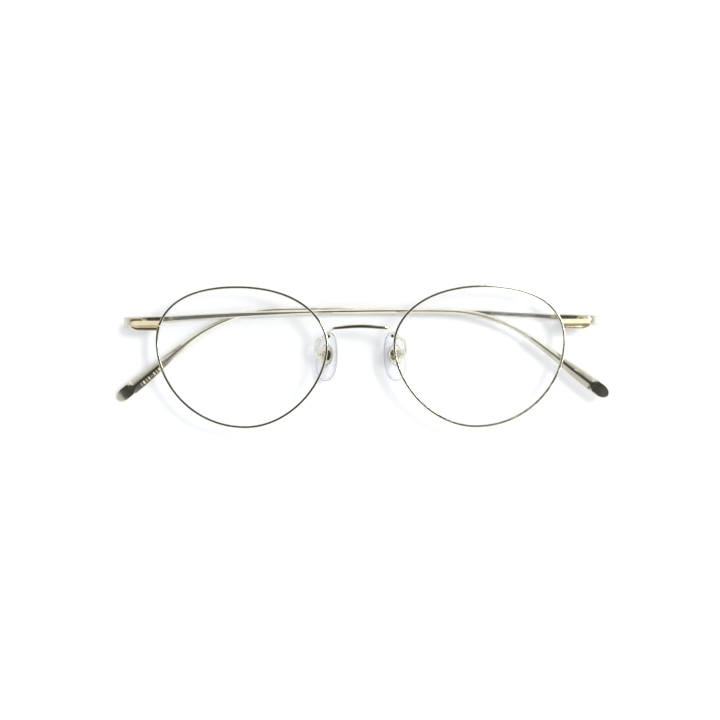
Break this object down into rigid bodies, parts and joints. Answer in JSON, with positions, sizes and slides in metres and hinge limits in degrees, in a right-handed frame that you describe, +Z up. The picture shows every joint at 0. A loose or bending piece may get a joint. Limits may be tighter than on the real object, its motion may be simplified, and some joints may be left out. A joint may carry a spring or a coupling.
{
  "type": "eyeglasses",
  "caption": "Round thin-rimmed metal eyeglasses with clear lenses, nose pads and hinged one-piece temples with paddle tips, folded and lying front up.",
  "frame": {"origin": "on the table the folded glasses lie on, under the middle of their box", "axes": "+X to the viewer's right across the front, which is the wearer's left; +Y towards the brow; +Z up, out of the front of the lenses"},
  "size_m": [0.1398, 0.04, 0.0154],
  "materials": {
    "frame_metal": "polished pale gold plating",
    "screw_metal": "polished gold plating, slightly darker",
    "clear_lens": "clear polished lens",
    "clear_silicone": "clear soft silicone"
  },
  "bodies": {
    "front": {"bridge": "frame_metal", "rim_right": "frame_metal", "lens_right": "clear_lens", "lug_right": "frame_metal", "rim_lock_upper_right": "frame_metal", "rim_lock_lower_right": "frame_metal", "rim_screw_right": "screw_metal", "hinge_front_leaf_right": "frame_metal", "hinge_screw_right": "screw_metal", "pad_arm_right": "frame_metal", "pad_box_right": "frame_metal", "pad_screw_right": "screw_metal", "rim_left": "frame_metal", "lens_left": "clear_lens", "lug_left": "frame_metal", "rim_lock_upper_left": "frame_metal", "rim_lock_lower_left": "frame_metal", "rim_screw_left": "screw_metal", "hinge_front_leaf_left": "frame_metal", "hinge_screw_left": "screw_metal", "pad_arm_left": "frame_metal", "pad_box_left": "frame_metal", "pad_screw_left": "screw_metal"},
    "temple_arm_right": {"temple_right": "frame_metal", "hinge_temple_leaf_right": "frame_metal"},
    "temple_arm_left": {"temple_left": "frame_metal", "hinge_temple_leaf_left": "frame_metal"},
    "pad_body_right": {"nose_pad_right": "clear_silicone", "pad_core_right": "frame_metal"},
    "pad_body_left": {"nose_pad_left": "clear_silicone", "pad_core_left": "frame_metal"}
  },
  "joints": [
    {"name": "temple_right_hinge", "type": "hinge", "parent": "front", "child": "temple_arm_right", "pos_m": [-0.0622, 0.0095, 0.0027], "axis": [-0.0505, 0.9974, -0.0505], "range_deg": [0, 93.4]},
    {"name": "temple_left_hinge", "type": "hinge", "parent": "front", "child": "temple_arm_left", "pos_m": [0.0622, 0.0095, 0.0027], "axis": [-0.0505, -0.9974, 0.0505], "range_deg": [0, 90]},
    {"name": "nose_pad_right_rock", "type": "hinge", "parent": "front", "child": "pad_body_right", "pos_m": [-0.01096, 0.0007, 0.0066], "axis": [0.692, -0.0605, 0.7193], "range_deg": [-8, 8]},
    {"name": "nose_pad_left_rock", "type": "hinge", "parent": "front", "child": "pad_body_left", "pos_m": [0.01096, 0.0007, 0.0066], "axis": [0.692, 0.0605, -0.7193], "range_deg": [-8, 8]}
  ]
}
